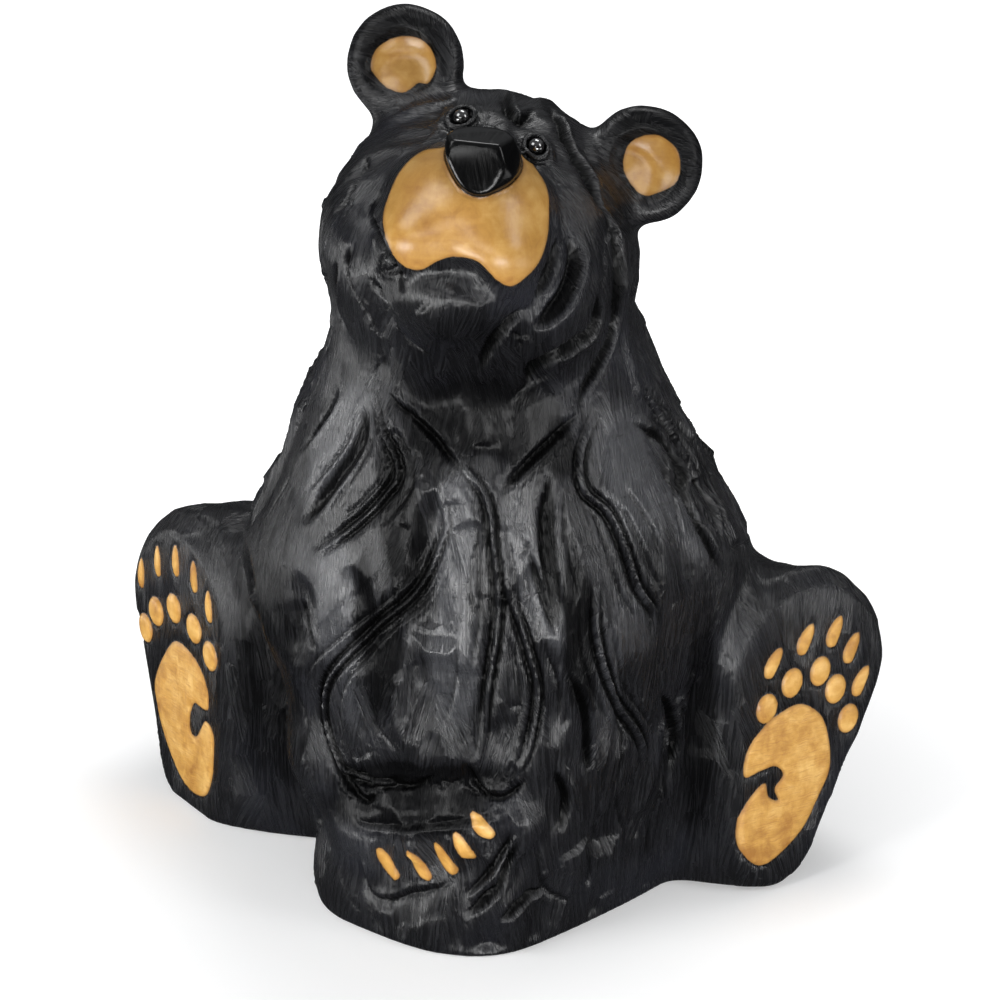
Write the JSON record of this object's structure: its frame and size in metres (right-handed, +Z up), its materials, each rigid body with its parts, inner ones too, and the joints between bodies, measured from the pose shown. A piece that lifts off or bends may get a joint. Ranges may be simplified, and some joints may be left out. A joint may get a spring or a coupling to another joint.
{
  "type": "chainsaw carved bear",
  "caption": "Seated carved wooden bear statue, head tilted up and to one side, painted paw pads and claws, bead eyes, flat underside.",
  "frame": {"origin": "on the underside, under the middle of the bounding box", "axes": "+Z up, -Y the way the bear faces, +X to the right of someone facing the bear"},
  "size_m": [0.4426, 0.259, 0.4893],
  "materials": {
    "stained_wood": "black stain under gloss lacquer, with honey stained muzzle, ears, paw pads and claws",
    "bead_glass": "polished black"
  },
  "bodies": {
    "root": {"carved_bear": "stained_wood", "eye_left": "bead_glass", "eye_right": "bead_glass"}
  },
  "joints": []
}
